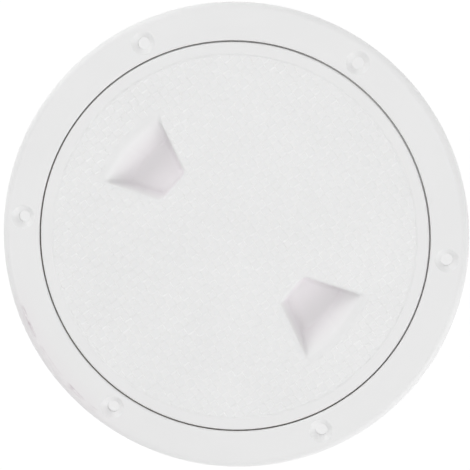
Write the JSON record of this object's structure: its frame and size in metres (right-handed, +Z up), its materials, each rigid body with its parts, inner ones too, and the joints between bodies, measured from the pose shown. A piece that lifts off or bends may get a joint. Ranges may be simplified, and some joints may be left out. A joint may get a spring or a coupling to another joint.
{
  "type": "deck inspection plate",
  "caption": "Round screw-down deck ring with a screw-out non-slip cover turned by two finger pockets, sealed by an O-ring.",
  "frame": {"origin": "centre of the screw circle in the deck plane, which is the underside of the flange", "axes": "+Z up out of the deck along the cover's turning axis, +X through the first screw hole"},
  "size_m": [0.2, 0.2, 0.025],
  "materials": {
    "ring_plastic": "satin moulded white",
    "cover_plastic": "satin moulded white with a fine non-slip pattern",
    "seal_rubber": "matt black rubber"
  },
  "bodies": {
    "deck_ring": {"deck_ring": "ring_plastic"},
    "seal": {"o_ring": "seal_rubber"},
    "cover": {"cover": "cover_plastic"}
  },
  "joints": [
    {"name": "cover_lift", "type": "slide", "parent": "deck_ring", "child": "seal", "axis": [0, 0, 1], "range_m": [0, 0.018]},
    {"name": "cover_turn", "type": "hinge", "parent": "seal", "child": "cover", "pos_m": [0, 0, 0], "axis": [0, 0, 1], "range_deg": [0, 1080]}
  ],
  "couplings": [
    {"joint": "cover_lift", "follows": "cover_turn", "m_per_rad": 0.00095493}
  ]
}
